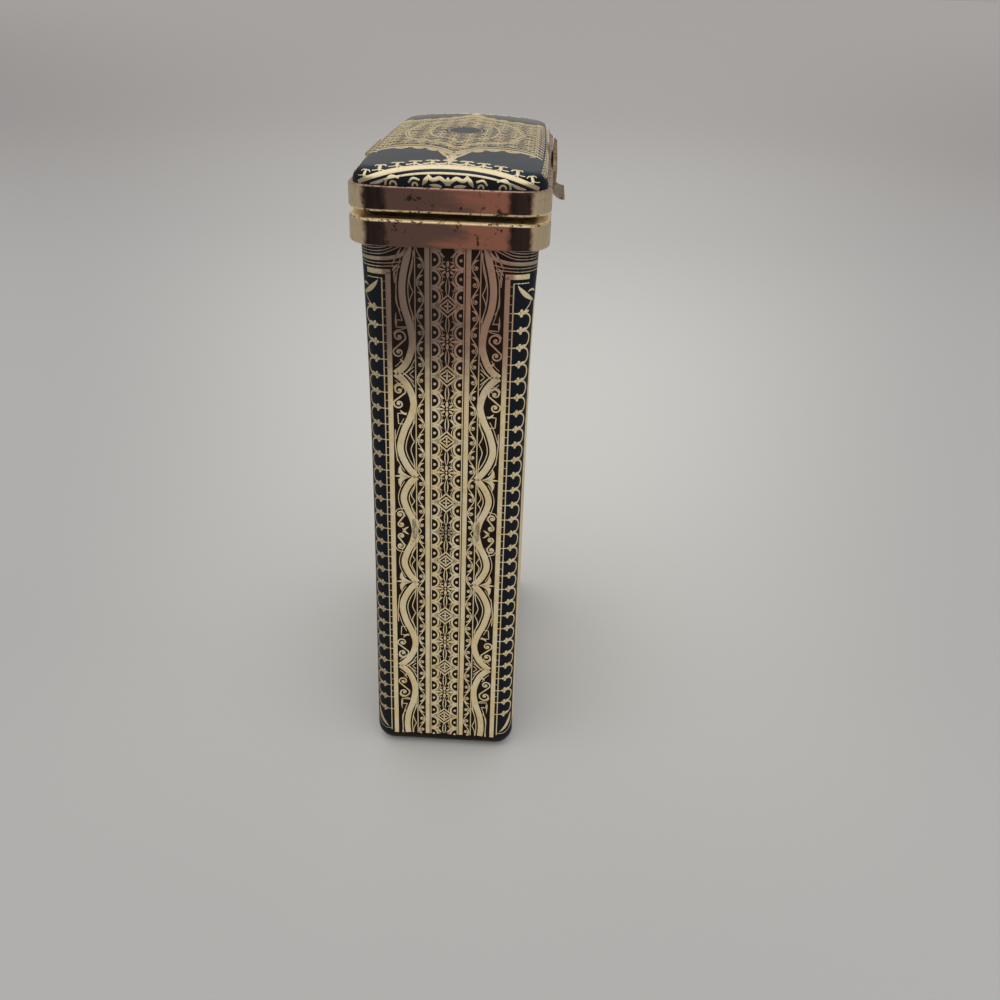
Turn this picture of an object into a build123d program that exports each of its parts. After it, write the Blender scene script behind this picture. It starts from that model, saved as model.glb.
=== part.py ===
from build123d import *
import os
from math import asin, cos, degrees, sin

# A tall leather-covered cigarette case with a gilt brass mouth frame and a padded, hinged lid.
# Lengths are millimetres. +X is the narrow way, +Y the long way of the plan and +Z up.
# The origin is the centre of the base, on the surface that the case stands on.

# Leather body: half sizes of its plan, and how far the sides stand out at each height.
body_half_x = 13.0
body_half_y = 31.0
body_corner = 3.2
base_edge = 2.9
side_swell = ((0.0, 0.0), (24.0, -0.12), (48.0, -0.2), (72.0, -0.05), (86.0, 0.24), (96.5, 0.6))

# Sheet stock, from the outside in.
leather = 0.5
base_board_top = 3.0
lining = 0.2

# Straight inner faces of the case, for a long packet of about 56 x 22.5 x 98.
inner_half_x = 11.8
inner_half_y = 29.8
inner_corner = 2.4

# Mouth frame: one band on the case and one on the lid, with the seam between them.
band_half_x = 15.2
band_half_y = 33.2
band_corner = 4.8
body_band_height = 4.0
lid_band_height = 3.7
band_wall = 0.8
band_web = 0.5
band_round = 0.45
seam = 1.0
body_band_low = side_swell[-1][0]
body_band_top = body_band_low + body_band_height
lid_band_low = body_band_top + seam
lid_band_top = lid_band_low + lid_band_height

# Inner lip of the mouth, let into the top of the side walls.
lip_sheet = 0.4
lip_outset = 0.6
lip_low = 92.0
lip_top = 103.5

# Lid: leather stands this far inside the band's face, and rises to a crowned top.
lid_ledge = 0.7
lid_leather = 0.6
lid_pad = 0.6
lid_board = 0.8
lid_crown_top = 109.0
lid_edge_round = 2.3
crown_radius_across = 88.0
crown_radius_along = 700.0
pad_low = 106.6
rim_sheet = 0.45
rim_gap = 0.25

# Hinge on the -X side: barrel beside the seam, two leaves on the bands' outer faces.
hinge_length = 17.0
hinge_knuckles = 5
knuckle_gap = 0.1
barrel_radius = 1.1
pin_radius = 0.5
pin_clearance = 0.05
leaf_sheet = 0.6
leaf_band_margin = 0.4
lid_leaf_rise = 0.3
rolled_edge = 0.42
leaf_corner = 1.2
leaf_gap = 0.2
leaf_tab_overlap = 0.5
hinge_x = -(band_half_x + barrel_radius)
hinge_z = body_band_top + seam / 2

# Thumb plate on the +X side: from beside the dome down past the seam to a turned-out lip.
plate_top = 108.2
plate_low = 99.2
plate_lip = 2.1
plate_lip_round = 0.2
plate_clearance = 0.15
plate_sheet = 0.3
plate_swell = 0.5
plate_waist = 0.4
plate_turn_out = 0.8
plate_turn_rise = 1.0
plate_shoulder_drop = 2.0
plate_bulge_half = 9.0
plate_foot_half = 6.0

# Spring catch inside the +X side of the lip.
catch_width = 6.0
catch_sheet = 0.3
catch_clamp_low = 92.4
catch_clamp_height = 2.0
catch_travel = 0.5
catch_corner = 1.2
catch_play = 0.05
catch_foot_rise = 0.1
nib_radius = 0.5
nib_height = 102.3
nib_tip_inside = 0.05

# Rivets.
rivet_radius = 0.5
rivet_head_radius = 0.9
rivet_head = 0.35
lip_rivet_radius = 0.4
board_bite = 0.4
rim_bite = 0.5
clamp_rivet_ys = (-1.9, 1.9)

far = 80.0


def block(low_x, high_x, low_y, high_y, low_z, high_z):
    """A plain box between two corners."""
    size = (high_x - low_x, high_y - low_y, high_z - low_z)
    return Pos(low_x, low_y, low_z) * Box(*size, align=(Align.MIN, Align.MIN, Align.MIN))


def prism(half_x, half_y, corner, low, high):
    """An upright block on a rounded rectangle, centred on the case's axis."""
    return extrude(Plane.XY.offset(low) * RectangleRounded(2 * half_x, 2 * half_y, corner), high - low)


def level(low, high):
    """All that lies between two heights."""
    return block(-far, far, -far, far, low, high)


def edges_at(solid, height):
    """The edges of a solid that lie all at one height."""
    return [e for e in solid.edges() if abs(e.center().Z - height) < 0.001 and e.bounding_box().size.Z < 0.001]


def peg(centre, direction, radius, length):
    """A round pin from a point, along a direction."""
    return extrude(Plane(origin=centre, z_dir=direction) * Circle(radius), length)


def rivet(outer_face, inner_face, y, z):
    """A rivet along X with a low domed head on its outer face."""
    way = 1 if outer_face > 0 else -1
    grip = abs(outer_face - inner_face)
    tip = grip + rivet_head
    ball = (rivet_head_radius**2 + rivet_head**2) / (2 * rivet_head)
    half_way = asin(rivet_head_radius / ball) / 2
    shoulder = (grip, rivet_head_radius)
    rise = (tip - ball + ball * cos(half_way), ball * sin(half_way))
    straight = Polyline((tip, 0), (0, 0), (0, rivet_radius), (grip, rivet_radius), shoulder)
    half = make_face([straight, ThreePointArc(shoulder, rise, (tip, 0))])
    turned = revolve(half, Axis.X, 360)
    return Plane(origin=(inner_face, y, z), x_dir=(way, 0, 0), z_dir=(0, 0, 1)) * turned


def body_form(inset):
    """The case body's outer form, with all its faces drawn in by one amount."""
    plans = []
    for height, swell in side_swell:
        out = swell - inset
        plan = RectangleRounded(2 * (body_half_x + out), 2 * (body_half_y + out), body_corner + out)
        plans.append(Plane.XY.offset(max(height, inset)) * plan)
    body = loft(plans)
    body = fillet(edges_at(body, inset), base_edge - inset)
    out = side_swell[-1][1] - inset
    neck = prism(body_half_x + out, body_half_y + out, body_corner + out, body_band_low, body_band_top - band_web)
    return body + neck


def lid_form(inset):
    """The lid's outer form: upright sides, a rounded edge and a crowned top."""
    half_x = band_half_x - lid_ledge - inset
    half_y = band_half_y - lid_ledge - inset
    corner = band_corner - lid_ledge - inset
    top = lid_crown_top - inset
    axis_z = lid_crown_top - crown_radius_across
    reach = far / 2
    drop = crown_radius_along - (crown_radius_along**2 - reach**2) ** 0.5
    arc = ThreePointArc((0, -reach, top - drop), (0, 0, top), (0, reach, top - drop))
    sides = Polyline((0, reach, top - drop), (0, reach, axis_z), (0, -reach, axis_z), (0, -reach, top - drop))
    barrel = revolve(make_face([arc, sides]), Axis((0, 0, axis_z), (0, 1, 0)), 360)
    low = lid_band_low + band_web
    lid = prism(half_x, half_y, corner, low, lid_crown_top + 1) & barrel
    shoulder = [e for e in lid.edges() if e.bounding_box().min.Z > low + 1]
    return fillet(shoulder, max(lid_edge_round - inset, 0.3))


def lip_plan(low, high, sheet_in):
    """A ring of the inner lip's outer size, or that size drawn in by a sheet."""
    out = lip_outset - sheet_in
    return prism(inner_half_x + out, inner_half_y + out, inner_corner + out, low, high)


def inner_plan(low, high, sheet_in=0.0):
    """The straight inside of the case, drawn in by a sheet."""
    return prism(inner_half_x - sheet_in, inner_half_y - sheet_in, inner_corner - sheet_in, low, high)


def rim_plan(low, high, sheet_out):
    """The inside of the lid's rim, let out by a sheet."""
    out = lip_outset + rim_gap + sheet_out
    return prism(inner_half_x + out, inner_half_y + out, inner_corner + out, low, high)


def band_block(low, high):
    """A band's outer block, with its long outer edges polished round."""
    band = prism(band_half_x, band_half_y, band_corner, low, high)
    return fillet(edges_at(band, low) + edges_at(band, high), band_round)


lip_face = inner_half_x + lip_outset
lip_inner_face = lip_face - lip_sheet
lip_end_face = inner_half_y + lip_outset
rim_face = lip_face + rim_gap
rim_back = rim_face + rim_sheet
rim_end_face = lip_end_face + rim_gap
lid_leather_low = lid_band_low + band_web

hinge_rivet_ys = (-5.6, 0.0, 5.6)
hinge_body_rivet_z = body_band_low + body_band_height / 2
hinge_lid_rivet_z = lid_band_low + lid_band_height * 0.6
plate_rivet_ys = (-4.6, 4.6)
plate_rivet_z = lid_band_low + lid_band_height / 2
lip_rivet_z = lip_low + 2.0
lip_rivet_ys = (-20.0, 20.0)
rim_rivet_z = lid_band_low + 2.2
rim_rivet_ys = (-22.0, 22.0)


def body_pins():
    """The hinge leaf's rivets on the case, through the band's outer wall."""
    inner = -(band_half_x - band_wall)
    return [rivet(-(band_half_x + leaf_sheet), inner, y, hinge_body_rivet_z) for y in hinge_rivet_ys]


def lid_pins():
    """The hinge leaf's rivets on the lid, through band, leather and board to the rim."""
    return [rivet(-(band_half_x + leaf_sheet), -rim_back, y, hinge_lid_rivet_z) for y in hinge_rivet_ys]


def plate_pins():
    """The thumb plate's two rivets."""
    return [rivet(band_half_x + plate_waist, rim_back, y, plate_rivet_z) for y in plate_rivet_ys]


def through_wall(face, depth, height, ys, radius):
    """Short pins through a wall: along X at some places on both sides, and one on each end."""
    pins = []
    for way in (-1, 1):
        for y in ys:
            pins.append(peg((way * face[0], y, height), (way, 0, 0), radius, depth))
        pins.append(peg((0, way * face[1], height), (0, way, 0), radius, depth))
    return pins


def lip_pins():
    """Pins that hold the lip to the side walls."""
    depth = lip_sheet + board_bite
    return through_wall((lip_inner_face, lip_end_face - lip_sheet), depth, lip_rivet_z, lip_rivet_ys, lip_rivet_radius)


def rim_pins():
    """Pins that hold the rim to the lid's board, flush with both."""
    return through_wall((rim_face, rim_end_face), rim_sheet + rim_bite, rim_rivet_z, rim_rivet_ys, lip_rivet_radius)


def clamp_pins():
    """The two rivets of the catch's clamp, flush inside the side wall."""
    z = catch_clamp_low + catch_clamp_height / 2
    face = lip_inner_face - 2 * catch_sheet
    return [peg((face, y, z), (1, 0, 0), lip_rivet_radius, lip_face + board_bite - face) for y in clamp_rivet_ys]


def cut(solid, tools):
    """A solid with each tool taken out of it."""
    for tool in tools:
        solid = solid - tool
    return solid


def make_body_shell():
    """Stiff side walls, rebated at the top for the lip."""
    walls = body_form(leather) & level(base_board_top, far * 2)
    walls -= inner_plan(base_board_top, lip_low)
    walls -= lip_plan(lip_low, body_band_top, 0)
    return cut(walls, lip_pins() + clamp_pins())


def make_base_board():
    """The board that closes the bottom."""
    return body_form(leather) & level(0, base_board_top)


def make_side_leather():
    """Leather round the sides, turned under the bottom edge."""
    return (body_form(0) - body_form(leather)) & level(leather, far * 2)


def make_base_leather():
    """The leather underneath, which the case stands on."""
    return body_form(0) & level(0, leather)


def make_side_lining():
    """Lining of the side walls, up to the lip."""
    low = base_board_top + lining
    return inner_plan(low, lip_low) - inner_plan(low, lip_low, lining)


def make_base_lining():
    """Lining on the base board."""
    return inner_plan(base_board_top, base_board_top + lining)


def make_body_band():
    """The case's band: a folded channel that clips over the leather's top edge."""
    band = band_block(body_band_low, body_band_top)
    wall = band_wall
    out = side_swell[-1][1]
    channel_top = body_band_top - band_web
    channel_low = body_band_low + band_web
    band -= prism(band_half_x - wall, band_half_y - wall, band_corner - wall, channel_low, channel_top)
    band -= prism(body_half_x + out, body_half_y + out, body_corner + out, body_band_low - 1, channel_low)
    band -= lip_plan(channel_top, body_band_top, 0)
    return cut(band, body_pins())


def make_mouth_lip():
    """The inner lip that the lid closes over."""
    lip = lip_plan(lip_low, lip_top, 0) - lip_plan(lip_low, lip_top, lip_sheet)
    window = peg((lip_inner_face - 0.1, 0, nib_height), (1, 0, 0), nib_radius + 0.2, lip_sheet + 0.2)
    return cut(lip, lip_pins() + clamp_pins() + [window])


def knuckle_spans(first):
    """The stretches of the barrel that belong to one leaf."""
    pitch = hinge_length / hinge_knuckles
    spans = []
    for i in range(first, hinge_knuckles, 2):
        low = -hinge_length / 2 + i * pitch
        spans.append((low + knuckle_gap / 2, low + pitch - knuckle_gap / 2))
    return spans


def make_leaf(first, plate_z, tab_z, bore, pins):
    """A hinge leaf: a plate on a band's outer face, with knuckles round the pin."""
    outer = -(band_half_x + leaf_sheet)
    inner = -band_half_x
    leaf = block(outer, inner, -hinge_length / 2, hinge_length / 2, *plate_z)
    free_z = plate_z[0] if tab_z > plate_z[0] else plate_z[1]
    free = [e for e in leaf.edges() if e.length < leaf_sheet + 0.01 and abs(e.center().Z - free_z) < 0.01]
    leaf = fillet(free, leaf_corner)
    tab = sorted((tab_z, hinge_z))
    for low, high in knuckle_spans(first):
        leaf += block(outer, inner, low, high, *tab)
        leaf += peg((hinge_x, low, hinge_z), (0, 1, 0), barrel_radius, high - low)
    leaf -= peg((hinge_x, -hinge_length, hinge_z), (0, 1, 0), bore, 2 * hinge_length)
    return cut(leaf, pins)


def make_hinge_body_leaf():
    """The leaf on the case's band."""
    plate = (body_band_low + leaf_band_margin, hinge_z - barrel_radius - leaf_gap)
    return make_leaf(0, plate, plate[1] - leaf_tab_overlap, pin_radius, body_pins())


def make_hinge_lid_leaf():
    """The leaf on the lid's band, whose rolled upper edge shows above the band."""
    plate = (hinge_z + barrel_radius + leaf_gap, lid_band_top + lid_leaf_rise)
    leaf = make_leaf(1, plate, plate[0] + leaf_tab_overlap, pin_radius + pin_clearance, lid_pins())
    half = hinge_length / 2 - leaf_corner
    roll = peg((-(band_half_x + leaf_sheet), -half, plate[1]), (0, 1, 0), rolled_edge, 2 * half)
    return leaf + roll


def make_hinge_pin():
    """The pin through all five knuckles."""
    return peg((hinge_x, -hinge_length / 2, hinge_z), (0, 1, 0), pin_radius, hinge_length)


def make_lid_shell():
    """The lid's board: thick at the sides, thinner under the pad."""
    outer = (lid_form(lid_leather) & level(0, pad_low)) + (lid_form(lid_leather + lid_pad) & level(pad_low - 1, far * 2))
    shell = outer - lid_form(lid_leather + lid_pad + lid_board)
    shell -= rim_plan(lid_leather_low, lid_band_top, rim_sheet)
    return cut(shell, lid_pins() + plate_pins() + rim_pins())


def make_lid_padding():
    """The thin pad under the lid's leather."""
    return (lid_form(lid_leather) - lid_form(lid_leather + lid_pad)) & level(pad_low, far * 2)


def make_lid_leather():
    """The lid's leather, drawn over the pad and down inside the band."""
    return cut(lid_form(0) - lid_form(lid_leather), lid_pins() + plate_pins())


def make_lid_lining():
    """The lining of the lid above its rim."""
    inset = lid_leather + lid_pad + lid_board
    return (lid_form(inset) - lid_form(inset + lining)) & level(lid_band_top, far * 2)


def make_lid_band():
    """The lid's band: an outer wall and a web that the board stands on."""
    band = band_block(lid_band_low, lid_band_top)
    ledge = lid_ledge
    band -= prism(band_half_x - ledge, band_half_y - ledge, band_corner - ledge, lid_leather_low, lid_band_top + 1)
    band -= rim_plan(lid_band_low - 1, lid_leather_low, rim_sheet)
    return cut(band, lid_pins() + plate_pins())


def make_lid_rim():
    """The lid's inner rim, which slides down outside the lip."""
    rim = rim_plan(lid_band_low, lid_band_top, rim_sheet) - rim_plan(lid_band_low, lid_band_top, 0)
    notch = peg((rim_face - 0.1, 0, nib_height), (1, 0, 0), nib_radius + 0.1, rim_sheet + 0.2)
    return cut(rim, rim_pins() + [notch])


def plate_side():
    """The thumb plate seen from the end: flat back, swelling front and a turned-out lip."""
    back = band_half_x
    clear = back + plate_clearance
    lip_x = back + plate_lip
    top = (back + plate_sheet, plate_top)
    waist = (back + plate_waist, lid_band_low - plate_sheet)
    tip_top = (lip_x, plate_low + 2 * plate_lip_round)
    tip = (lip_x + plate_lip_round, plate_low + plate_lip_round)
    tip_under = (lip_x - plate_lip_round, plate_low)
    tongue = (clear, lid_band_low - 4 * plate_sheet)
    front = [
        ThreePointArc(top, (back + plate_swell, (plate_top + lid_band_low) / 2), waist),
        ThreePointArc(waist, (back + plate_turn_out, plate_low + plate_turn_rise), tip_top),
        ThreePointArc(tip_top, tip, tip_under),
    ]
    rear = [
        ThreePointArc(tip_under, (clear + plate_sheet, plate_low + plate_turn_rise - plate_sheet), tongue),
        Polyline(tongue, (clear, lid_band_low), (back, lid_band_low)),
        Polyline((back, lid_band_low), (back, plate_top - plate_sheet), top),
    ]
    outline = [Plane.XZ * piece for piece in front + rear]
    return make_face(outline)


def plate_outline():
    """The thumb plate seen from the side: a rounded cartouche on a narrower tongue."""
    neck = plate_foot_half + plate_sheet
    shoulder = (neck, plate_top - plate_shoulder_drop)
    waist = (neck, lid_band_low)
    foot_end = (plate_foot_half, plate_low)
    right = [
        ThreePointArc((0, plate_top), (neck / 2, plate_top - plate_shoulder_drop / 5), shoulder),
        ThreePointArc(shoulder, (plate_bulge_half, (shoulder[1] + waist[1]) / 2), waist),
        ThreePointArc(waist, (plate_foot_half - plate_sheet, (lid_band_low + plate_low) / 2), foot_end),
    ]
    left = [mirror(piece, Plane.YZ) for piece in right]
    foot = Line(foot_end, (-plate_foot_half, plate_low))
    outline = [Plane.YZ * piece for piece in right + left + [foot]]
    return make_face(outline)


def make_thumb_plate():
    """The stamped plate that the thumb lifts the lid by."""
    side = extrude(plate_side(), far / 2, both=True)
    outline = extrude(plate_outline(), far, both=True)
    return cut(side & outline, plate_pins())


def catch_foot():
    """The foot of the spring leaf, where it bends: its X and Z."""
    return lip_inner_face - catch_play - catch_sheet / 2, catch_clamp_low + catch_clamp_height + catch_foot_rise


def catch_set_angle():
    """How far the spring leaf is bent back at rest, in degrees."""
    return degrees(asin(catch_travel / (nib_height - catch_foot()[1])))


def set_back(solid):
    """A piece of the catch, turned from against the lip to its place at rest."""
    x, z = catch_foot()
    return Pos(x, 0, z) * Rot(0, -catch_set_angle(), 0) * Pos(-x, 0, -z) * solid


def make_catch_leaf():
    """The spring leaf, bent back so that its nib is clear of the lid."""
    x, z = catch_foot()
    half = catch_sheet / 2
    leaf = block(x - half, x + half, -catch_width / 2, catch_width / 2, z, lip_top - 0.3)
    corners = [e for e in leaf.edges() if e.length < catch_sheet + 0.01 and e.center().Z > z + 1]
    leaf = fillet(corners, catch_corner)
    hole = peg((x - 1, 0, nib_height), (1, 0, 0), nib_radius * 0.8, 2)
    return set_back(leaf - hole)


def make_catch_nib():
    """The round-ended nib riveted through the spring leaf."""
    x = catch_foot()[0] + catch_sheet / 2
    tip = lip_face - nib_tip_inside + catch_travel
    nib = peg((x, 0, nib_height), (1, 0, 0), nib_radius, tip - nib_radius - x)
    nib += Pos(tip - nib_radius, 0, nib_height) * Sphere(nib_radius)
    nib += peg((x - catch_sheet, 0, nib_height), (1, 0, 0), nib_radius * 0.8, catch_sheet)
    return set_back(nib)


def make_catch_clamp():
    """The bar that clamps the spring leaf's foot to the lip."""
    low = catch_clamp_low
    face = lip_inner_face - 2 * catch_sheet
    half = catch_width / 2
    return cut(block(face, lip_inner_face, -half, half, low, low + catch_clamp_height), clamp_pins())


makers = {
    "body_shell": make_body_shell,
    "base_board": make_base_board,
    "side_leather": make_side_leather,
    "base_leather": make_base_leather,
    "side_lining": make_side_lining,
    "base_lining": make_base_lining,
    "body_band": make_body_band,
    "mouth_lip": make_mouth_lip,
    "lip_rivets": lip_pins,
    "hinge_body_leaf": make_hinge_body_leaf,
    "hinge_body_rivets": body_pins,
    "hinge_pin": make_hinge_pin,
    "hinge_lid_leaf": make_hinge_lid_leaf,
    "hinge_lid_rivets": lid_pins,
    "lid_shell": make_lid_shell,
    "lid_padding": make_lid_padding,
    "lid_leather": make_lid_leather,
    "lid_lining": make_lid_lining,
    "lid_band": make_lid_band,
    "lid_rim": make_lid_rim,
    "lid_rim_rivets": rim_pins,
    "thumb_plate": make_thumb_plate,
    "thumb_plate_rivets": plate_pins,
    "catch_leaf": make_catch_leaf,
    "catch_nib": make_catch_nib,
    "catch_clamp": make_catch_clamp,
    "catch_clamp_rivets": clamp_pins,
}

os.makedirs("parts", exist_ok=True)
for name, make in makers.items():
    made = make()
    if isinstance(made, list):
        made = Compound(children=[piece.solid() for piece in made])
    export_step(made, f"parts/{name}.step")
    print(name, len(made.solids()), round(made.volume, 2))
print("catch set back", round(catch_set_angle(), 3), "degrees about", catch_foot())
print("hinge axis", hinge_x, hinge_z)
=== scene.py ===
# %% [markdown]
# # A gold-tooled leather case with a gilt brass mouth
# The imported model already has every hard piece in its place, so this lesson dresses it. The leather gets
# its gold tooling as thin foil laid on the surface, the brass gets its wear and its painted reflections and
# highlights, and the thumb plate its stamped relief. Sizes are in millimetres, and only those of the floor
# and the lamps are in metres.

from math import ceil, cos, hypot, pi, radians, sin, sqrt

import bpy
from mathutils import Matrix, Vector
from mathutils.bvhtree import BVHTree


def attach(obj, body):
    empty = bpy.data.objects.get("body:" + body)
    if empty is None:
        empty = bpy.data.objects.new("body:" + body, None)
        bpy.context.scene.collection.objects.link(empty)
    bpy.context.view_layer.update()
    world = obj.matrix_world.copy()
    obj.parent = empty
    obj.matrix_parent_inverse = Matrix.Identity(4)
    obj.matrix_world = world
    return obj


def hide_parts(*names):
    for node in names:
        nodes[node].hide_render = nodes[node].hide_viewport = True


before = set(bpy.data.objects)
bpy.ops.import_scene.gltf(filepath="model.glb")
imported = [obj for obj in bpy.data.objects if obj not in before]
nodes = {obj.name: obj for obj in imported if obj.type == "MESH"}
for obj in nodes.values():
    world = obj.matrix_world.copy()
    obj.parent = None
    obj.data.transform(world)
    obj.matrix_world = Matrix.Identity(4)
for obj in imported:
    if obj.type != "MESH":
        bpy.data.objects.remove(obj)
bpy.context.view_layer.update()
mm = 0.001
print("frame:", len(nodes), "nodes")

# %% [markdown]
# ## Sizes the leather gives
# The tooling has to know where the leather turns its corners. These few sizes are the case's own, and the
# exact surface is found later by looking straight down onto the leather's mesh.

# %% Sizes of the case
body_half_x = 13.0
body_half_y = 31.0
body_corner = 3.2
tooling_low = 2.6
tooling_high = 96.6
band_foot = 96.5
band_top = 105.2
seam_height = 101.0
seam_half = 0.5
bands_round = 0.45
lid_half_x = 14.5
lid_half_y = 32.5
lid_corner = 4.1
lid_round = 2.3
lid_top = 109.0
crown_across = 88.0
crown_along = 700.0


def crown_height(x, y):
    """How high the lid's domed top is over a place in plan."""
    return lid_top - x * x / (2 * crown_across) - y * y / (2 * crown_along)


# %% [markdown]
# ## The camera
# The case stands on its base and is seen on a narrow end from above, a little from the right and with a
# slight tilt of the camera. The place and angles come from fitting the case's edges to the photograph.

# %% Camera
eye = Vector((13.69, -181.23, 132.26)) * mm
yaw = radians(1.737)
pitch = radians(27.466)
roll = radians(2.092)
sensor = 36.0
focal_share = 1.00298


def camera_frame():
    """The camera's right, up and back directions as a matrix."""
    ahead = Vector((-sin(yaw) * cos(pitch), cos(yaw) * cos(pitch), -sin(pitch)))
    level_right = Vector((cos(yaw), sin(yaw), 0))
    level_up = level_right.cross(ahead)
    right = cos(roll) * level_right + sin(roll) * level_up
    up = cos(roll) * level_up - sin(roll) * level_right
    return Matrix((right, up, -ahead)).transposed().to_4x4()


def put(name, data):
    """A new object in the scene."""
    made = bpy.data.objects.new(name, data)
    bpy.context.collection.objects.link(made)
    return made


camera = put("camera", bpy.data.cameras.new("camera"))
camera.data.sensor_width = sensor
camera.data.lens = sensor * focal_share
camera.data.clip_start = 0.005
camera.matrix_world = Matrix.Translation(eye) @ camera_frame()
bpy.context.scene.camera = camera
print("camera lens", round(camera.data.lens, 2), "mm")

# %% [markdown]
# ## Shader sums in plain Python
# A material's masks are easier to read as sums than as wires. This class holds one output of a node, and
# each operator on it adds the Math node that does that sum. Every other node comes from Shading.node.


# %% A value in a shader
def sum_method(operation, turned=False):
    """A method that adds a Math node. Where it is turned, the other value comes first."""

    def method(self, other=0.0):
        first, second = (other, self) if turned else (self, other)
        return self.shading.node("Math", {"operation": operation}, {0: first, 1: second})

    return method


class Value:
    """One output of a shader node. Sums on it add Math nodes."""

    def __init__(self, shading, socket):
        self.shading = shading
        self.socket = socket

    __add__ = __radd__ = sum_method("ADD")
    __sub__ = sum_method("SUBTRACT")
    __rsub__ = __neg__ = sum_method("SUBTRACT", turned=True)
    __mul__ = __rmul__ = sum_method("MULTIPLY")
    __truediv__ = sum_method("DIVIDE")
    __abs__ = sum_method("ABSOLUTE")
    sine = sum_method("SINE")
    most = sum_method("MAXIMUM")

    def of(self, name):
        """Another output of the same node."""
        return Value(self.shading, self.socket.node.outputs[name])

    def rise(self, low, high):
        """0 below low and 1 above high, with a smooth rise between."""
        sockets = {"Value": self, "From Min": low, "From Max": high}
        return self.shading.node("MapRange", {"interpolation_type": "SMOOTHSTEP"}, sockets)


# %% A tree of shader nodes
def set_socket(tree, socket, value):
    """Link a value to a socket, or write a number or colour on it."""
    if isinstance(value, Value):
        tree.links.new(value.socket, socket)
    elif isinstance(value, tuple) and len(value) == 3 and socket.type == "RGBA":
        socket.default_value = (*value, 1.0)
    else:
        socket.default_value = value


class Shading:
    """The node tree of a material or of the world."""

    def __init__(self, owner):
        owner.use_nodes = True
        self.owner = owner
        self.tree = owner.node_tree

    def node(self, kind, settings, sockets, out=0):
        """A node of a kind: its settings first, then its sockets. Gives one of its outputs."""
        made = self.tree.nodes.new("ShaderNode" + kind)
        for name, setting in settings.items():
            setattr(made, name, setting)
        for name, value in sockets.items():
            set_socket(self.tree, made.inputs[name], value)
        return Value(self, made.outputs[out])

    def blend(self, mask, first, second):
        """One colour where the mask is 0 and another where it is 1."""
        return self.node("Mix", {"data_type": "RGBA"}, {0: mask, 6: first, 7: second}, 2)


class Paint(Shading):
    """A material on one Principled shader."""

    def __init__(self, name, constants):
        super().__init__(bpy.data.materials.new(name))
        self.shader = self.tree.nodes["Principled BSDF"]
        for socket, value in constants.items():
            set_socket(self.tree, self.shader.inputs[socket], value)

    def feed(self, socket, value):
        set_socket(self.tree, self.shader.inputs[socket], value)

    def millimetres(self):
        """The place on the object, in millimetres."""
        place = self.node("TexCoord", {}, {}, "Object")
        return self.node("VectorMath", {"operation": "SCALE"}, {0: place, "Scale": 1 / mm})

    def places(self):
        """The place on the object in millimetres, whole and as its three numbers."""
        where = self.millimetres()
        x = self.node("SeparateXYZ", {}, {0: where}, "X")
        return where, x, x.of("Y"), x.of("Z")

    def noise(self, where, per_mm, detail=3.0, roughness=0.55):
        sockets = {"Vector": where, "Scale": per_mm, "Detail": detail, "Roughness": roughness}
        return self.node("TexNoise", {}, sockets)

    def streaks(self, where, per_mm, scale=1.0):
        """Noise with its own scale along each axis."""
        return self.noise(self.node("VectorMath", {"operation": "MULTIPLY"}, {0: where, 1: per_mm}), scale)

    def relief(self, height, depth_mm, strength):
        """Bump the surface by a height from 0 to 1, which is so deep."""
        sockets = {"Height": height, "Distance": depth_mm * mm, "Strength": strength}
        self.feed("Normal", self.node("Bump", {}, sockets, "Normal"))

    def finish(self, colour, roughness, height, depth_mm, strength):
        """Give the shader what every finish has. The answer is the material."""
        self.feed("Base Color", colour)
        self.feed("Roughness", roughness)
        self.relief(height, depth_mm, strength)
        return self.owner


# %% [markdown]
# ## Leather
# The skin is a fine glazed goat or calf, almost black: brown-black between the gold of the narrow ends. On
# the corners, the long sides and the lid it is blue-black, partly a painted blue sheen, and the top of the
# lid is a lighter navy that is partly painted sheen. A Voronoi pattern at a third of a millimetre gives the
# small pebbles of the grain, and broad noise makes the glaze uneven. The top of the lid is polished by
# handling and rubbed pale towards its far end.

# %% Leather paint
leather_brown = (0.011, 0.0055, 0.003)
leather_blue_sheen = (0.0055, 0.0075, 0.012)
lid_navy_sheen = (0.006, 0.022, 0.038)
leather_scuffed = (0.028, 0.026, 0.026)
leather_rubbed = (0.24, 0.215, 0.185)
pebbles_per_mm = 2.8
corner_start = (9.6, 10.4)
lid_start = (104.0, 105.0)
crown_start = (106.6, 107.6)
rubbed_start = (15.0, 28.0)


def leather_paint():
    paint = Paint("tooled_leather", {"Specular IOR Level": 0.1, "Coat Roughness": 0.3})
    where, x, y, z = paint.places()
    blue = abs(x).rise(*corner_start).most(z.rise(*lid_start))
    crown = z.rise(*crown_start)
    clouds = paint.noise(where, 0.25)
    grain = {"Vector": where, "Scale": pebbles_per_mm}
    pebbles = paint.node("TexVoronoi", {"feature": "SMOOTH_F1"}, grain, "Distance")
    scratches = paint.noise(where, 5.0, 6.0, 0.7)
    # the blue-black and the lighter navy of the lid's top are near-black leather with painted sheen
    ground = paint.blend(crown, paint.blend(blue, leather_brown, leather_blue_sheen), lid_navy_sheen)
    scuffs = clouds.rise(0.5, 0.75) * scratches.rise(0.52, 0.7)
    handled = crown * y.rise(*rubbed_start) * (0.4 + 0.5 * scratches.rise(0.42, 0.62))
    ground = paint.blend(scuffs * 0.5, ground, leather_scuffed)
    colour = paint.blend(handled, ground, leather_rubbed)
    paint.feed("Coat Weight", crown * 0.7 * (1 - scuffs))
    roughness = 0.34 + clouds * 0.16 + scratches * 0.1
    return paint.finish(colour, roughness, pebbles + scratches * 0.3, 0.03, 0.5)


leather = leather_paint()
print("leather ready")
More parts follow.
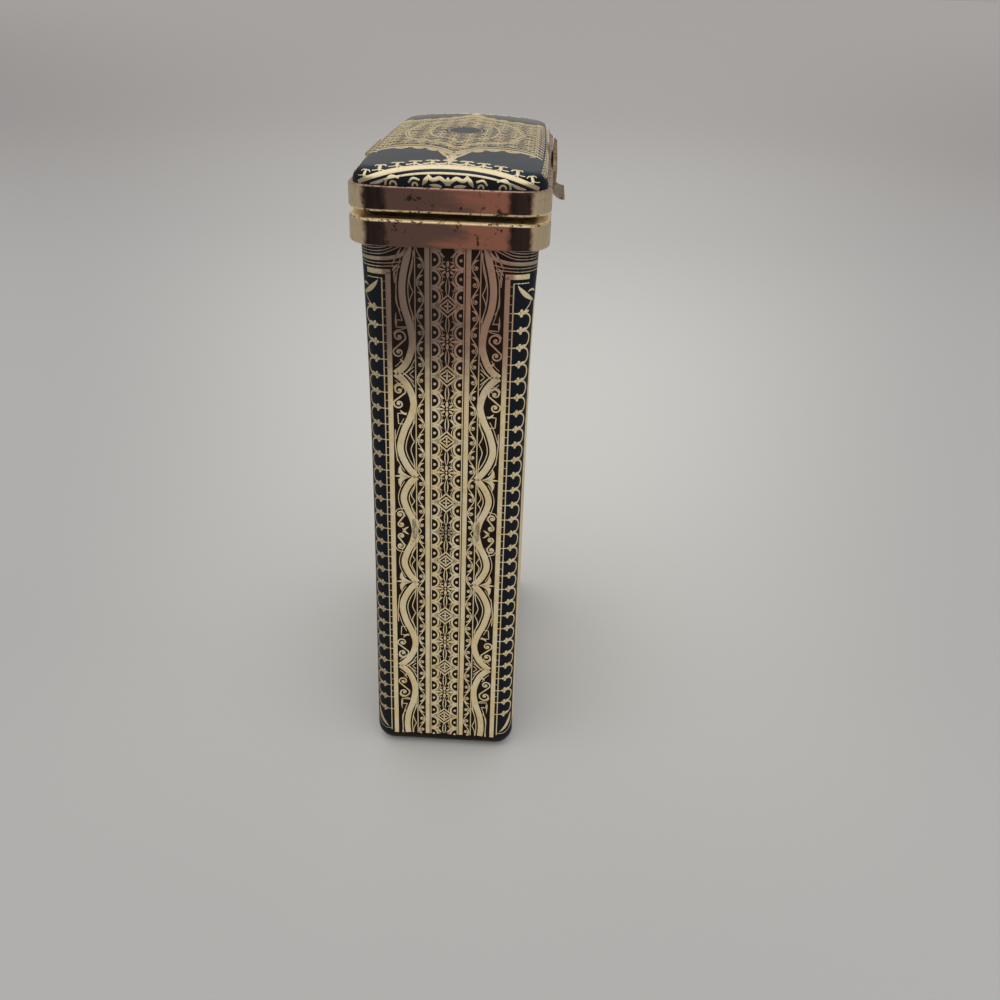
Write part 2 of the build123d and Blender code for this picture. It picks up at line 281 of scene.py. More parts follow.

# %% [markdown]
# ## Gold leaf
# Gold leaf pressed into leather is matt and thin. It has rubbed through in places. On the upper part of the
# narrow ends it is coppery: a painted reflection of the dark surroundings. It is dull at the mouth and along
# the left edge, and carries a painted highlight on the shoulders and ends of the lid. The same material
# serves all the tooling.

# %% Gold leaf paint
leaf_gold = (0.72, 0.57, 0.31)
leaf_pale = (0.76, 0.65, 0.44)
leaf_highlight = (0.98, 0.84, 0.56)
leaf_copper_reflection = (0.20, 0.135, 0.10)
leaf_rose_reflection = (0.35, 0.205, 0.14)
leaf_dull = (0.24, 0.19, 0.13)
leaf_worn = (0.09, 0.065, 0.045)
copper_reflection_start = (72.0, 86.0)
copper_reflection_end = (97.0, 98.0)
corner_leaf_start = (9.7, 10.6)
left_edge_end = (104.0, 104.5)
mouth_start = (92.7, 93.3)
mouth_end = (105.9, 106.3)
shoulder_start = (106.1, 106.5)
shoulder_end = (107.6, 108.0)
lid_end_start = (25.2, 26.2)


def gold_leaf_paint():
    paint = Paint("gold_leaf", {"Metallic": 0.45, "Specular IOR Level": 0.4})
    where, x, y, z = paint.places()
    patches = paint.noise(where, 0.35)
    wander = paint.noise(where, 0.9) * 6.0
    # painted reflection: the upper part of the narrow ends turns coppery
    copper_reflection = (z + wander).rise(*copper_reflection_start) * (1 - z.rise(*copper_reflection_end))
    inside = 1 - abs(x).rise(*corner_leaf_start)
    left_edge = (-x).rise(*corner_leaf_start) * (1 - z.rise(*left_edge_end))
    mouth = z.rise(*mouth_start) * (1 - z.rise(*mouth_end))
    end = abs(y).rise(*lid_end_start)
    # painted highlight on the lid's shoulders and ends
    shoulder = z.rise(*shoulder_start) * (1 - z.rise(*shoulder_end)).most(end)
    rubbed = paint.noise(where, 2.2, 5.0, 0.7)
    tint = paint.blend(patches.rise(0.35, 0.7), leaf_gold, leaf_pale)
    tint = paint.blend((mouth * 0.8).most(left_edge * 0.55), tint, leaf_dull)
    tint = paint.blend(shoulder, tint, leaf_highlight)
    coppery = paint.blend((x * 0.08 + patches).rise(0.3, 0.9), leaf_copper_reflection, leaf_rose_reflection)
    tint = paint.blend(copper_reflection * inside, tint, coppery)
    colour = paint.blend(rubbed.rise(0.56, 0.72) * 0.55, tint, leaf_worn)
    return paint.finish(colour, 0.36 + rubbed * 0.25, rubbed, 0.012, 0.6)


gold_leaf = gold_leaf_paint()

# %% [markdown]
# ## Gilt brass
# The mouth frame is polished brass with worn gilding. Most of its colour is painted reflection and light:
# the pale corners, the pink outer rims and the bright rims of the seam are painted highlights, and the flats
# carry a painted reflection, brown to salmon and near-black just before each corner. The ledge inside the
# seam is painted in shade. Real blots lie on the flats and small pits along the rims. The masks are worked
# out from the place on the band, so that the painted reflections and the wear are the same from every side.
# The other brass is plainer, and the lip inside the mouth is painted near-black as shade.

# %% Brass paints
seam_highlight_gold = (0.95, 0.76, 0.44)
rim_highlight_pink = (0.70, 0.50, 0.40)
corner_reflection_olive = (0.76, 0.61, 0.39)
brass_shade = (0.30, 0.18, 0.08)
reflected_brown = (0.17, 0.095, 0.075)
reflected_salmon = (0.44, 0.175, 0.115)
black_reflection_and_pits = (0.016, 0.012, 0.011)
end_dark_start = (8.6, 9.6)
end_dark_end = (11.9, 12.9)
side_dark_start = (25.4, 26.6)
side_dark_end = (28.4, 29.4)
end_face_start = (31.4, 31.8)
lit_ledge_start = ((12.6, 13.6), (32.5, 32.8))
rim_width = (0.08, 0.2)


def band_zones(x, y, ragged):
    """Where the bands are painted near-black as a reflection, and where their corners are."""
    across, along = abs(x) + ragged, abs(y) + ragged
    end_corner = across.rise(*end_dark_end)
    side_corner = along.rise(*side_dark_end)
    end_dark = across.rise(*end_dark_start) * (1 - end_corner) * along.rise(*end_face_start)
    side_dark = along.rise(*side_dark_start) * (1 - side_corner)
    return end_dark.most(side_dark), end_corner * side_corner


def band_rims(x, y, z):
    """The ledges inside the seam, their shaded part, the rims of the seam, and all the rims."""
    from_seam = abs(z - seam_height)
    ledge = 1 - from_seam.rise(seam_half + 0.02, seam_half + 0.1)
    lit = abs(x).rise(*lit_ledge_start[0]).most(abs(y).rise(*lit_ledge_start[1]))
    seam_rim = 1 - from_seam.rise(seam_half + 0.3, seam_half + bands_round)
    near, far = rim_width
    upper_rim = z.rise(band_top - far, band_top - near)
    lower_rim = 1 - z.rise(band_foot + near, band_foot + far)
    return ledge, ledge * (1 - lit), seam_rim, seam_rim.most(upper_rim.most(lower_rim))


def band_paint():
    """The two bands of the mouth frame."""
    paint = Paint("gilt_band", {})
    where, x, y, z = paint.places()
    dark, corner = band_zones(x, y, paint.noise(where, 0.5, 5.0, 0.65) * 1.6 - 0.8)
    ledge, shaded, seam_rim, rim = band_rims(x, y, z)
    clouds = paint.noise(where, 0.16)
    speckle = paint.noise(where, 1.6, 6.0, 0.65)
    fine = paint.noise(where, 4.0, 4.0)
    slow = paint.streaks(where, (0.11, 0.06, 0.5))
    streaks = paint.streaks(where, (1.6, 1.6, 0.1))
    # painted reflection on the flats: brown to salmon, near-black before each corner, pale on the corners
    flat = paint.blend((x * 0.05 + slow).rise(0.42, 0.72), reflected_brown, reflected_salmon)
    ground = paint.blend(corner, paint.blend(dark, flat, black_reflection_and_pits), corner_reflection_olive)
    blots = paint.noise(where, 0.62, 6.0, 0.7).rise(0.57, 0.6)
    blots = blots * paint.noise(where, 0.2).rise(0.44, 0.56) * (1 - 0.8 * corner)
    # painted highlights on the rims, and painted shade on the ledge inside the seam
    edge = paint.blend(seam_rim, rim_highlight_pink, paint.blend(shaded, seam_highlight_gold, brass_shade))
    shine = paint.blend(rim, paint.blend(streaks * 0.35, ground, reflected_brown), edge)
    pits = rim * speckle.rise(0.54, 0.6) * (1 - 0.7 * ledge)
    marks = pits.most(speckle.rise(0.65, 0.69)).most(blots * 0.85)
    paint.feed("Metallic", 1 - 0.65 * ledge)
    roughness = 0.2 + clouds * 0.12 + speckle * 0.1 + dark * 0.1
    return paint.finish(paint.blend(marks, shine, black_reflection_and_pits), roughness, fine * 0.3 - marks, 0.02, 0.5)


def brass_paint(name, tint, dulled, roughness, patches_per_mm=0.6):
    """Plain gilt brass with dulled patches and small pits."""
    paint = Paint(name, {"Metallic": 1.0})
    where = paint.millimetres()
    patches = paint.noise(where, patches_per_mm, 5.0, 0.65)
    speckle = paint.noise(where, 3.0, 5.0, 0.7)
    pits = speckle.rise(0.64, 0.7)
    colour = paint.blend(pits, paint.blend(patches.rise(0.45, 0.75), tint, dulled), black_reflection_and_pits)
    return paint.finish(colour, roughness + patches * 0.2, patches * 0.4 - pits, 0.015, 0.6)


band_brass = band_paint()
brass = brass_paint("gilt_brass", (0.74, 0.56, 0.27), (0.38, 0.26, 0.13), 0.2)
aged_brass = brass_paint("aged_brass", (0.50, 0.36, 0.18), (0.12, 0.08, 0.055), 0.3)
# the mouth lip and its rivets are painted near-black: painted shade where they sit in the gap
shade_dark_brass = brass_paint("darkened_brass", (0.060, 0.040, 0.024), (0.014, 0.010, 0.008), 0.42)
mottled_brass = brass_paint("mottled_brass", (0.42, 0.33, 0.22), (0.035, 0.028, 0.024), 0.4, 1.5)
print("brass ready")

# %% [markdown]
# ## Board, cloth, felt and spring
# These show when the lid is open. The lining is a fine ribbed silk, whose ribs are a sine of the height
# bumped into the surface; the board and the felt have only fibres; the spring is blued strip.

# %% Board, cloth, felt and spring paints
rib_pitch = 0.55
lining_silk = (0.33, 0.25, 0.15)
lining_stained = (0.22, 0.15, 0.085)
lining_lit = (0.45, 0.37, 0.25)
spring_blue = (0.10, 0.12, 0.19)
spring_bare = (0.24, 0.22, 0.24)
spring_grain = (4.0, 4.0, 0.6)


def lining_paint():
    sheen = {"Sheen Weight": 0.25, "Sheen Roughness": 0.4, "Specular IOR Level": 0.3}
    paint = Paint("ribbed_lining", sheen)
    where, _, _, z = paint.places()
    threads = paint.noise(where, 6.0, 3.0)
    stains = paint.noise(where, 0.12)
    ribs = (z * (2 * pi / rib_pitch)).sine() * 0.5 + 0.5
    cloth = paint.blend(stains.rise(0.4, 0.75), lining_silk, lining_stained)
    colour = paint.blend(ribs * 0.5 + threads * 0.3, cloth, lining_lit)
    return paint.finish(colour, 0.6 + threads * 0.25, ribs + threads * 0.4, 0.08, 0.8)


def fibre_paint(name, tint, dark, sheen):
    """Pressed board or felt: a plain colour with fibres."""
    paint = Paint(name, {"Sheen Weight": sheen, "Specular IOR Level": 0.25})
    where = paint.millimetres()
    fibres = paint.noise(where, 3.5, 6.0, 0.75)
    patches = paint.noise(where, 0.3)
    colour = paint.blend(fibres * 0.6 + patches * 0.3, tint, dark)
    return paint.finish(colour, 0.75 + fibres * 0.2, fibres, 0.06, 0.7)


def spring_paint():
    paint = Paint("blued_spring", {"Metallic": 1.0})
    streaks = paint.streaks(paint.millimetres(), spring_grain, 1.5)
    colour = paint.blend(streaks, spring_blue, spring_bare)
    return paint.finish(colour, 0.3 + streaks * 0.2, streaks, 0.01, 0.5)


lining = lining_paint()
board = fibre_paint("pressed_board", (0.36, 0.27, 0.18), (0.20, 0.14, 0.09), 0.0)
felt = fibre_paint("felt_wadding", (0.75, 0.71, 0.62), (0.52, 0.48, 0.40), 0.3)
spring = spring_paint()

# %% [markdown]
# ## Finish the hard pieces
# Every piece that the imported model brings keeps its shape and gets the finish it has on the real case.

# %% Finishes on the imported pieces
finishes = {
    leather: ("side_leather", "base_leather", "lid_leather"),
    band_brass: ("body_band", "lid_band"),
    brass: (
        "hinge_body_leaf", "hinge_lid_leaf", "hinge_pin", "hinge_body_rivets", "hinge_lid_rivets",
        "catch_nib", "catch_clamp", "catch_clamp_rivets",
    ),
    aged_brass: ("lid_rim", "lid_rim_rivets", "thumb_plate_rivets"),
    shade_dark_brass: ("mouth_lip", "lip_rivets"),
    mottled_brass: ("thumb_plate",),
    board: ("body_shell", "base_board", "lid_shell"),
    lining: ("side_lining", "base_lining", "lid_lining"),
    felt: ("lid_padding",),
    spring: ("catch_leaf",),
}


def dress(node, material):
    """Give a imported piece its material."""
    if not node.material_slots:
        node.data.materials.append(material)
    for holder in node.material_slots:
        holder.material = material


for material, names in finishes.items():
    for name in names:
        dress(nodes[name], material)
print("dressed", sum(len(names) for names in finishes.values()), "of", len(nodes))

# %% [markdown]
# ## Strokes
# A finisher's tooling is made of lines, arcs, curls, dots and leaves. Each stroke here is a flat line of
# points with a width at each point, so that one kind of thing can be moved, mirrored, clipped and laid on
# any surface. A dot is a very short stroke that swells and closes, and a leaf is a longer one.


# %% Simple strokes
def line(points, width):
    """One stroke of even width."""
    return [(list(points), [width] * len(points))]


def upright(x, low, high, width):
    return line([(x, low), (x, high)], width)


def between(a, b, c, d, t):
    """A smooth value at a share t of the way from b to c, with a before them and d after."""
    slope = (c - a) * t
    return 0.5 * (2 * b + slope + (2 * a - 5 * b + 4 * c - d) * t**2 + (3 * b - a - 3 * c + d) * t**3)


def curve_through(points, steps=6):
    """A smooth line through points."""
    ends = [points[0], *points, points[-1]]
    found = []
    for i in range(1, len(ends) - 2):
        before, start, end, after = ends[i - 1 : i + 3]
        for k in range(steps):
            found.append(tuple(between(*place, k / steps) for place in zip(before, start, end, after)))
    return found + [points[-1]]


def flow(points, width, steps=6):
    return line(curve_through(points, steps), width)


def arc_points(centre, radii, start, stop, steps=12):
    """Points on an ellipse between two angles in degrees."""
    found = []
    for k in range(steps + 1):
        angle = radians(start + (stop - start) * k / steps)
        found.append((centre[0] + radii[0] * cos(angle), centre[1] + radii[1] * sin(angle)))
    return found


def arc(centre, radii, start, stop, width, steps=12):
    return line(arc_points(centre, radii, start, stop, steps), width)


def curl_points(centre, radius, end_angle, turns, hand, steps=18):
    """A spiral from its eye outwards, which ends at an angle in degrees."""
    found = []
    for k in range(steps + 1):
        t = k / steps
        angle = radians(end_angle) - hand * 2 * pi * turns * (1 - t)
        reach = radius * (0.18 + 0.82 * t)
        found.append((centre[0] + reach * cos(angle), centre[1] + reach * sin(angle)))
    return found


def leaf(start, end, width, bend=0.0, steps=7):
    """A pointed leaf between two points, bent to one side."""
    dx, dy = end[0] - start[0], end[1] - start[1]
    points, widths = [], []
    for k in range(steps + 1):
        t = k / steps
        side = bend * 4 * t * (1 - t)
        points.append((start[0] + dx * t - dy * side, start[1] + dy * t + dx * side))
        widths.append(max(width * sin(pi * t) ** 0.8, 0.04))
    return [(points, widths)]


def petal(centre, length, width, angle=90.0, steps=6):
    """A round-ended petal, or a dot where length and width are the same."""
    way_x, way_y = length / 2 * cos(radians(angle)), length / 2 * sin(radians(angle))
    points, widths = [], []
    for k in range(steps + 1):
        t = -cos(pi * k / steps)
        points.append((centre[0] + way_x * t, centre[1] + way_y * t))
        widths.append(max(width * sqrt(1 - t * t), 0.02))
    return [(points, widths)]


def dot(centre, radius):
    return petal(centre, 2 * radius, 2 * radius)


# %% Moving and cutting strokes
def moved(strokes, dx=0.0, dy=0.0, flip_x=1, flip_y=1):
    """The same strokes somewhere else, mirrored first where a flip is -1."""
    return [([(dx + flip_x * x, dy + flip_y * y) for x, y in points], widths) for points, widths in strokes]


def both_sides(strokes):
    return strokes + moved(strokes, flip_x=-1)


def divided(points, widths, longest):
    """The stroke with more points, so that no step is longer than that."""
    found, wide = [points[0]], [widths[0]]
    for (x0, y0), (x1, y1), w0, w1 in zip(points, points[1:], widths, widths[1:]):
        parts = max(1, ceil(hypot(x1 - x0, y1 - y0) / longest))
        for k in range(1, parts + 1):
            t = k / parts
            found.append((x0 + (x1 - x0) * t, y0 + (y1 - y0) * t))
            wide.append(w0 + (w1 - w0) * t)
    return found, wide


def kept(strokes, inside, longest=0.35):
    """Only the parts of the strokes where inside(x, y) holds."""
    found = []
    for points, widths in strokes:
        run, wide = [], []
        for point, width in zip(*divided(points, widths, longest)):
            if inside(*point):
                run.append(point)
                wide.append(width)
                continue
            found.append((run, wide))
            run, wide = [], []
        found.append((run, wide))
    return [(points, widths) for points, widths in found if len(points) > 2]


# %% [markdown]
# ## Laying a stroke on the leather
# A stroke becomes a low ridge: its edges are sunk just into the surface, and its middle stands a few
# hundredths of a millimetre proud, like pressed foil. Each point looks along the surface's outward
# direction for the mesh below it, so the gold follows every corner and the domed lid. The flat pattern is
# kept as the piece's own map for baking, because it is already unrolled.

# %% Laying strokes
foil_rise = 0.035
foil_sink = 0.02
broad_stroke = 0.3
column_width = 0.4
longest_step = 0.6
look_out = 4.0


def surface_of(node):
    """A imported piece's mesh, ready to be looked down onto."""
    mesh = nodes[node].data
    places, faces = [v.co for v in mesh.vertices], [p.vertices for p in mesh.polygons]
    return BVHTree.FromPolygons(places, faces, epsilon=1e-6)


def laid_on(node, place_of):
    """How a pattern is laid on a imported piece: place_of gives a place by it and the way outwards there."""
    surface = surface_of(node)

    def place_on(a, b, lift):
        place, outward = place_of(a, b)
        start = (place + outward * look_out) * mm
        hit = surface.ray_cast(start, -outward, 3 * look_out * mm)[0]
        return (hit if hit else place * mm) + outward * lift * mm

    return place_on


def edge_directions(points):
    """The direction to the left of the stroke at each point."""
    found = []
    for k in range(len(points)):
        x0, y0 = points[max(k - 1, 0)]
        x1, y1 = points[min(k + 1, len(points) - 1)]
        run = max(hypot(x1 - x0, y1 - y0), 1e-9)
        found.append((-(y1 - y0) / run, (x1 - x0) / run))
    return found


def foil_section(width):
    """Across a foil stroke: how far out and how high each line of points is."""
    if width < broad_stroke:
        return [(-1.0, -foil_sink), (0.0, foil_rise), (1.0, -foil_sink)]
    flat = 1 - 0.12 / width
    columns = ceil(width / column_width)
    inner = [(flat * (2 * k / columns - 1), foil_rise) for k in range(columns + 1)]
    return [(-1.0, -foil_sink), *inner, (1.0, -foil_sink)]


def stroke_grid(points, widths, section, place_on):
    """The points of a laid stroke and their places on the flat pattern, row by row."""
    corners, flats = [], []
    for (x, y), width, (left_x, left_y) in zip(points, widths, edge_directions(points)):
        for share, lift in section:
            out = share * width / 2
            flat = (x + left_x * out, y + left_y * out)
            corners.append(place_on(*flat, lift))
            flats.append(flat)
    return corners, flats


def strokes_mesh(name, strokes, place_on, section_of):
    """One mesh of all the strokes, with the flat pattern as its own map."""
    corners, flats, faces = [], [], []
    for points, widths in strokes:
        points, widths = divided(points, widths, longest_step)
        section = section_of(max(widths))
        first, across = len(corners), len(section)
        new_corners, new_flats = stroke_grid(points, widths, section, place_on)
        corners += new_corners
        flats += new_flats
        for row in range(len(points) - 1):
            for k in range(across - 1):
                a = first + row * across + k
                faces.append((a, a + across, a + across + 1, a + 1))
    mesh = bpy.data.meshes.new(name)
    mesh.from_pydata(corners, [], faces)
    turn_outwards(mesh, place_on, flats)
    add_flat_map(mesh, flats)
    mesh.shade_smooth()
    return mesh


def turn_outwards(mesh, place_on, flats):
    """Turn the faces over where the pattern is laid mirrored, so that they face out."""
    face = max(mesh.polygons, key=lambda p: p.area)
    flat = flats[face.vertices[0]]
    outward = place_on(*flat, 1.0) - place_on(*flat, 0.0)
    if face.normal.dot(outward) < 0:
        mesh.flip_normals()


def add_flat_map(mesh, flats):
    low_x, low_y = (min(f[i] for f in flats) for i in (0, 1))
    size = max(max(f[i] for f in flats) - low for i, low in ((0, low_x), (1, low_y)))
    layer = mesh.uv_layers.new(name="OFBake")
    for loop in mesh.loops:
        x, y = flats[loop.vertex_index]
        layer.data[loop.index].uv = (0.01 + 0.98 * (x - low_x) / size, 0.01 + 0.98 * (y - low_y) / size)


def lay(name, strokes, place_on, body, section_of=foil_section, material=gold_leaf):
    """Lay strokes as one piece that rides on a body."""
    piece = put(name, strokes_mesh(name, strokes, place_on, section_of))
    piece.data.materials.append(material)
    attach(piece, body)
    print(name, len(strokes), "strokes,", len(piece.data.polygons), "faces")
    return piece


# %% [markdown]
# ## Round the walls
# Each wall has a flat middle and turns into the next one over a round corner. A pattern's first number runs
# along the wall and its second is the height, so a line that runs past the flat part simply bends round the
# corner.

# %% Places on the walls and on the lid
up = Vector((0, 0, 1))
walls = {
    "near": (Vector((0, -1, 0)), Vector((1, 0, 0))),
    "far": (Vector((0, 1, 0)), Vector((-1, 0, 0))),
    "right": (Vector((1, 0, 0)), Vector((0, 1, 0))),
    "left": (Vector((-1, 0, 0)), Vector((0, -1, 0))),
}


def foot_on(wall, half_x, half_y, corner, a):
    """The place in plan, and the outward direction, at a distance along a wall from its middle."""
    outward, along = walls[wall]
    half_out, half_along = (half_y, half_x) if wall in ("near", "far") else (half_x, half_y)
    flat = half_along - corner
    straight = max(-flat, min(flat, a))
    turn = (a - straight) / corner
    facing = outward * cos(turn) + along * sin(turn)
    return outward * (half_out - corner) + along * straight + facing * corner, facing


def body_wall(wall):
    """How a pattern is laid on one wall of the case."""

    def place_of(a, height):
        foot, facing = foot_on(wall, body_half_x, body_half_y, body_corner, a)
        return foot + up * height, facing

    return laid_on("side_leather", place_of)


def lid_wall(wall):
    """How a pattern is laid on one side of the lid: its height is measured up and over the shoulder."""

    def place_of(a, climb):
        foot, facing = foot_on(wall, lid_half_x, lid_half_y, lid_corner, a)
        straight = crown_height(foot.x, foot.y) - lid_round - band_top
        turn = max(0.0, min(pi / 2, (climb - straight) / lid_round))
        over = max(0.0, climb - straight - lid_round * pi / 2)
        place = foot - facing * (lid_round * (1 - cos(turn)) + over)
        height = band_top + min(climb, straight) + lid_round * sin(turn)
        return place + up * height, facing * cos(turn) + up * sin(turn)

    return laid_on("lid_leather", place_of)


def lid_crown():
    """How a pattern is laid on the top of the lid."""
    return laid_on("lid_leather", lambda x, y: (Vector((x, y, crown_height(x, y))), up))


# %% [markdown]
# ## The column of stars
# Down the middle of each narrow end runs a column between two bars. Half-round domes with a dot stand
# against the bars, and between them four-petalled flowers take turns with stars of hollow-sided diamonds.
# The rows repeat in fours and are drawn above the middle of the height.

# %% Star column
middle = 47.2
reach_up = tooling_high - middle
row_pitch = 2.865
rows = ceil(reach_up / row_pitch)
column_half = 2.4
fine_width = 0.24
hair_width = 0.18
bold_width = 0.3
hollow_power = 2.3


def hollow_diamond(half_width, half_height, width):
    """A quarter of a diamond with hollow sides, as one stroke."""
    points = []
    for k in range(11):
        angle = pi / 2 * k / 10
        points.append((half_width * cos(angle) ** hollow_power, half_height * sin(angle) ** hollow_power))
    return line(points, width)


def four_ways(strokes):
    return both_sides(strokes + moved(strokes, flip_y=-1))


def flower():
    """A four-petalled flower whose side petals are long."""
    strokes = petal((0, 0.82), 1.0, 0.5) + petal((0, -0.82), 1.0, 0.5) + dot((0, 0), 0.2)
    strokes += both_sides(leaf((0.35, 0), (2.3, 0), 0.46))
    strokes += four_ways(petal((0.62, 0.5), 0.75, 0.42, 40.0))
    return strokes + four_ways(leaf((0.35, 1.3), (1.1, 1.1), 0.26, -0.2))


def star():
    """A star of two hollow diamonds, one in the other."""
    strokes = four_ways(hollow_diamond(2.3, 1.8, bold_width) + hollow_diamond(1.3, 1.1, bold_width))
    return strokes + upright(0, -0.7, 0.7, bold_width) + both_sides(leaf((0.1, 0), (0.6, 0), 0.35))


def dome(height):
    """A half-round dome against the bar, with a dot in it."""
    centre = (column_half, height)
    rim = arc(centre, (1.2, row_pitch / 2 - 0.2), 90, 270, 0.4, 14)
    outer = arc(centre, (1.62, row_pitch / 2 + 0.12), 112, 248, hair_width, 10)
    return rim + outer + dot((column_half - 0.42, height), 0.26)


def spur(height, towards):
    """A leaf that springs from the cusp between two domes towards the next flower."""
    strokes = leaf((column_half - 0.2, height), (1.0, height), 0.6)
    strokes += leaf((1.25, height), (0.42, height + towards * 1.05), 0.42, -0.12 * towards)
    return strokes + leaf((1.2, height), (0.6, height - towards * 0.5), 0.3, 0.12 * towards)


def star_column():
    """The upper half of the column, from the middle of the height."""
    strokes = []
    for row in range(rows):
        height = row * row_pitch
        strokes += both_sides(dome(height + row_pitch / 2))
        if row % 4 == 0:
            strokes += moved(flower(), dy=height)
        elif row % 4 == 2:
            strokes += moved(star(), dy=height)
            for way in (1, -1):
                start, end = height + 1.5 * way, height + (2 * row_pitch - 1.2) * way
                strokes += both_sides(leaf((0, start), (0, end), 0.3, 0.09))
        else:
            strokes += both_sides(spur(height, 1 if row % 4 == 3 else -1))
    return strokes


# %% [markdown]
# ## The vine and the strap
# Beside the column a bar, a curling vine and a thin line follow, and then a broad strap that swings in and
# out between points. The strap's line is drawn through a few places read from the photograph, above the
# middle of the height, and the lower half is the same line turned over.

# %% Vine and strap
bar_place = 3.16
bar_width = 0.8
vine_place = 4.22
vine_swing = 0.56
vine_period = 5.3
vine_step = 0.25
thin_line_place = 5.02
strap_width = 1.12
inner_point_height = 10.4
outer_point_height = 28.7
strap_runs = (
    ((5.35, -2.3), (5.32, 0), (5.8, 2.3), (6.7, 4.3), (7.2, 6.1), (6.95, 7.6), (6.1, 9.2), (5.0, 10.4)),
    ((5.0, 10.4), (6.45, 12.2), (7.45, 14.4), (7.62, 16.3), (6.95, 18.9), (6.05, 20.9), (5.45, 22.9),
     (5.45, 24.2), (5.95, 25.9), (6.85, 27.4), (8.25, 28.7)),
    ((8.25, 28.7), (6.75, 30.1), (5.85, 32.1), (5.5, 34.2), (5.9, 36.9), (6.75, 39.8), (7.02, 42.4),
     (6.8, 44.8), (6.15, 47.8), (5.9, 49.6)),
)


def vine(place, high):
    """A waving stem with a curl in each bend."""
    heights = [k * vine_step for k in range(int(high / vine_step))]
    strokes = line([(place + vine_swing * sin(2 * pi * h / vine_period), h) for h in heights], 0.26)
    for bend in range(int(2 * high / vine_period)):
        side = 1 if bend % 2 == 0 else -1
        height = (bend + 0.5) * vine_period / 2
        eye_place = (place - side * 0.06, height - 0.1)
        points = curl_points(eye_place, 0.46, 60 if side > 0 else 120, 1.25, side, 12)
        strokes += line(points, fine_width) + dot(eye_place, 0.17)
        start, end = (place + side * 0.3, height + 0.3), (place - side * 0.5, height + 1.1)
        strokes += leaf(start, end, 0.34, -0.2 * side)
    return strokes


def beside(points, gap):
    """A line that keeps a distance from another."""
    return [(x + gap * lx, y + gap * ly) for (x, y), (lx, ly) in zip(points, edge_directions(points))]


def strap():
    """The broad strap, with the thin lines that keep it company on both sides."""
    strokes = []
    for run in strap_runs:
        path = curve_through(run, 7)
        strokes += line(path, strap_width)
        strokes += kept(line(beside(path, 0.92), fine_width), lambda x, y: x > thin_line_place + 0.1)
        strokes += kept(line(beside(path, -0.92), hair_width), lambda x, y: 7.0 < x < 8.4)
    return strokes


def bracket(low, high):
    """A line in the hollow of the strap, with a cusp in its middle that points to the thin line."""
    half = (high - low) / 2
    centre = low + half
    upper = [(5.22, half), (5.42, half * 0.6), (5.88, half * 0.3), (5.7, half * 0.14), (5.32, 0)]
    strokes = flow(upper, fine_width)
    return moved(strokes, dy=centre) + moved(strokes, dy=centre, flip_y=-1)


def scroll(upper, lower, radius=1.08):
    """Two curls joined into an S, with a tail from each to the strap."""
    first = curl_points(upper, radius, 205, 1.2, 1)
    second = curl_points(lower, radius * 0.8, 25, 1.2, 1)
    strokes = line(first + second[::-1], bold_width) + dot(upper, 0.27) + dot(lower, 0.25)
    tail = flow([(-1.25, 1.5), (-0.5, 1.2), (0.45, 0.95), (0.85, 0.35)], fine_width)
    return strokes + moved(tail, *upper) + moved(leaf((-0.2, -radius), (-1.3, -1.9), 0.4, 0.1), *lower)


def palmette(height):
    """Three leaves outside the strap's inner point."""
    strokes = leaf((5.9, height), (8.75, height), 0.5)
    for way in (1, -1):
        strokes += leaf((6.2, height + 0.1 * way), (7.7, height + 2.1 * way), 0.8, -0.32 * way)
        strokes += leaf((6.7, height + 0.05 * way), (8.2, height + 0.8 * way), 0.3, -0.1 * way)
    return strokes


def point_filling(height):
    """Two small triangles, one in the other, inside the strap's outer point."""
    strokes = []
    for size in (1.0, 0.5):
        tip, wing = 5.25 + 1.45 * size, 1.3 * size
        strokes += line([(5.32, height + wing), (tip, height), (5.32, height - wing)], fine_width)
    return strokes


def notch(low, high):
    """A square bracket with its back to the outer bar."""
    return line([(6.5, high + 0.1), (8.0, high), (7.9, low), (7.1, low - 0.05)], 0.26)


def strap_fillings():
    """What fills the gaps beside the strap, above the middle of the height."""
    strokes = bracket(1.6, 10.0) + bracket(11.2, 22.6) + bracket(35.6, 48.6)
    strokes += palmette(inner_point_height) + point_filling(outer_point_height)
    strokes += scroll((7.85, 3.1), (7.7, 1.15), 0.7)
    strokes += scroll((7.6, 34.9), (7.7, 32.3)) + scroll((7.7, 25.9), (7.8, 23.5))
    strokes += notch(20.0, 21.8) + notch(37.6, 36.4)
    strokes += leaf((8.0, 38.9), (8.15, 36.6), 0.3) + leaf((6.9, 49.2), (8.5, 46.2), 0.34)
    strokes += flow([(8.45, 18.9), (8.5, 16.4), (8.15, 13.2)], fine_width)
    return strokes + flow([(8.3, 46.2), (7.9, 43.6), (7.95, 40.6), (7.3, 39.0)], fine_width)


def middle_bands(high):
    """Bars, vine, strap and thin line on one side of the column."""
    strokes = upright(bar_place, 0, high, bar_width) + upright(column_half + 0.13, 0, high, 0.28)
    strokes += upright(thin_line_place, 0, high, 0.26)
    return strokes + vine(vine_place, high) + strap() + strap_fillings()


# %% [markdown]
# ## The corner border
# A broad bar and a thin line close the panel. Over the corner itself a row of little flowers sits on stems,
# with a round scallop between each two. At the mouth the bars turn the corner and straps fan out above
# them.

# %% Corner border
outer_bar_place = 9.12
outer_bar_width = 0.84
outer_line_place = 10.05
border_top = 92.3
flower_top = 86.6
flower_pitch = 2.8
flower_count = 29
flower_place = 11.35
fan_run = 5.3


